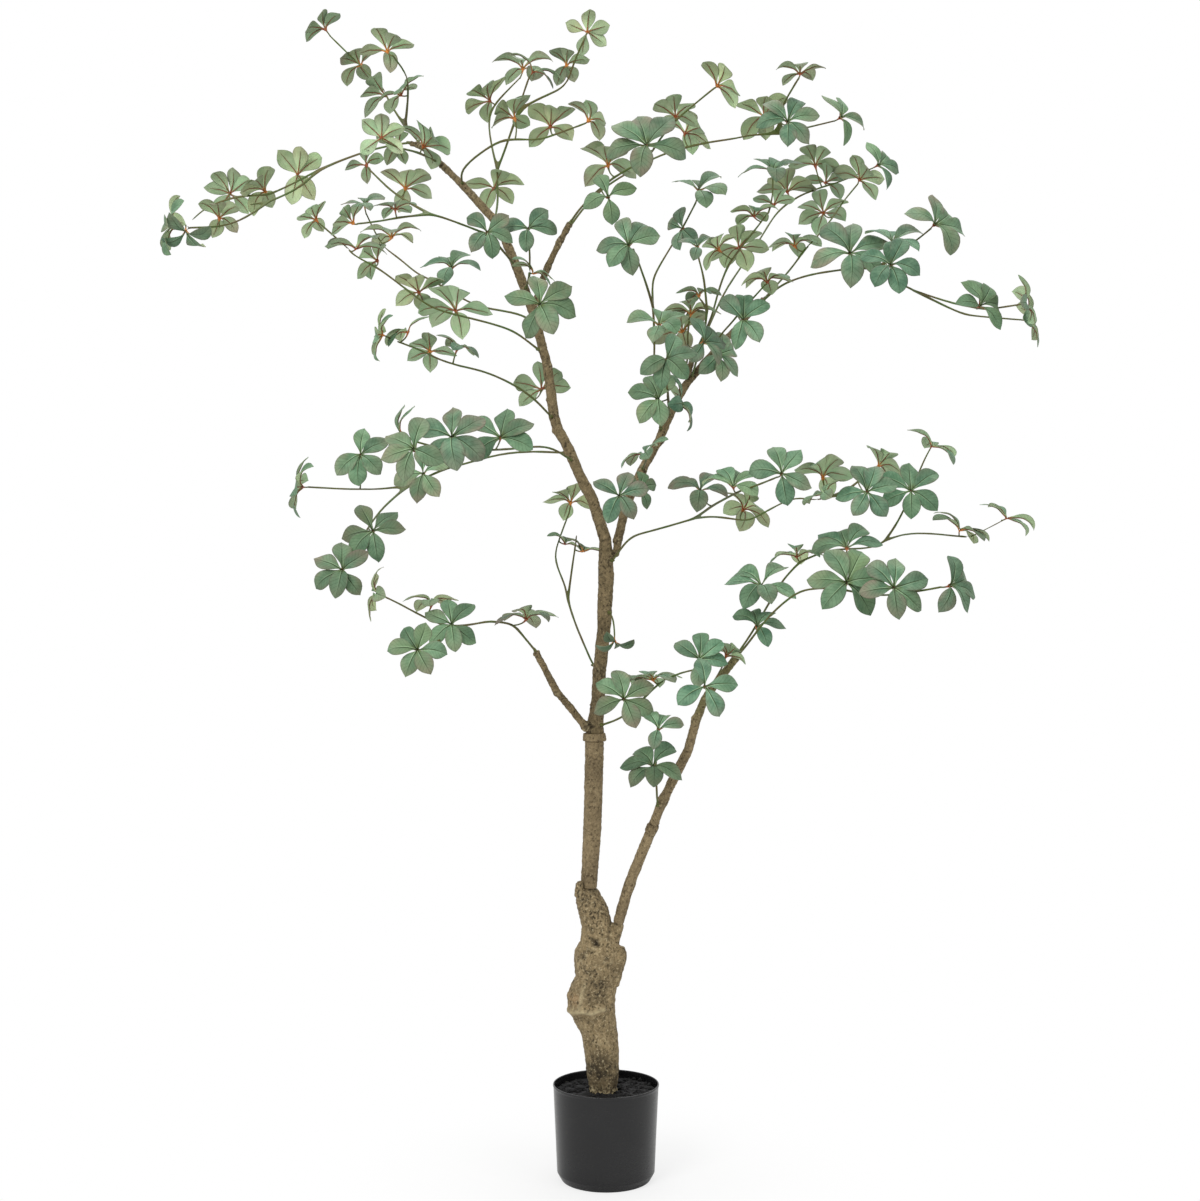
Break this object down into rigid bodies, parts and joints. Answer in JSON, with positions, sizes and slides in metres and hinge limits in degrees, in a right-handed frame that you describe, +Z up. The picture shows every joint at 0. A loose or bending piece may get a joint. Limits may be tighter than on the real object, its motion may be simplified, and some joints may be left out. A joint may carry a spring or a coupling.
{
  "type": "potted rhodoleia tree",
  "caption": "Freestanding artificial rhodoleia tree: gnarled trunk and bark-covered limbs with leaf-whorl sprays, standing in a plain round nursery pot.",
  "frame": {"origin": "centre of the pot's underside, on the floor", "axes": "+Z up along the pot's axis, -Y towards a person facing the tree, +X to that person's right"},
  "size_m": [1.3848, 0.802, 1.8443],
  "materials": {
    "pot_plastic": "satin",
    "cement": "matte",
    "soil_crumb": "matte",
    "bark": "matte",
    "foliage": "matte"
  },
  "bodies": {
    "root": {"bud_above_fork": "foliage", "bud_at_fork": "foliage", "bud_limb_low": "foliage", "bud_trunk_high": "foliage", "bud_trunk_middle": "foliage", "buds_on_limb": "foliage", "cement_weight": "cement", "cluster_twig_left": "foliage", "cluster_twig_top": "foliage", "limb_low_right": "bark", "limb_low_right_collar": "bark", "limb_low_right_upper": "bark", "limb_lower_left": "bark", "limb_right": "bark", "limb_right_twig": "bark", "limb_top": "bark", "pole_collar": "bark", "pole_lower": "bark", "pot": "pot_plastic", "soil_top": "soil_crumb", "spray_far_left": "foliage", "spray_inner_back": "foliage", "spray_inner_left": "foliage", "spray_inner_up": "foliage", "spray_left_centre": "foliage", "spray_left_high": "foliage", "spray_left_mid": "foliage", "spray_limb_tip": "foliage", "spray_low_left_far": "foliage", "spray_low_left_near": "foliage", "spray_low_middle": "foliage", "spray_low_middle_stem": "foliage", "spray_low_right_high": "foliage", "spray_low_right_inner": "foliage", "spray_low_right_out": "foliage", "spray_lower_left": "foliage", "spray_right_mid": "foliage", "spray_right_reach": "foliage", "spray_right_rise": "foliage", "spray_top_far": "foliage", "spray_top_left": "foliage", "spray_top_middle_high": "foliage", "spray_top_middle_low": "foliage", "spray_top_near": "foliage", "spray_upper_left": "foliage", "trunk_base": "bark", "trunk_upper": "bark", "twig_inner_small": "foliage", "twig_left_of_trunk": "foliage", "twig_right_of_trunk": "foliage"}
  },
  "joints": []
}
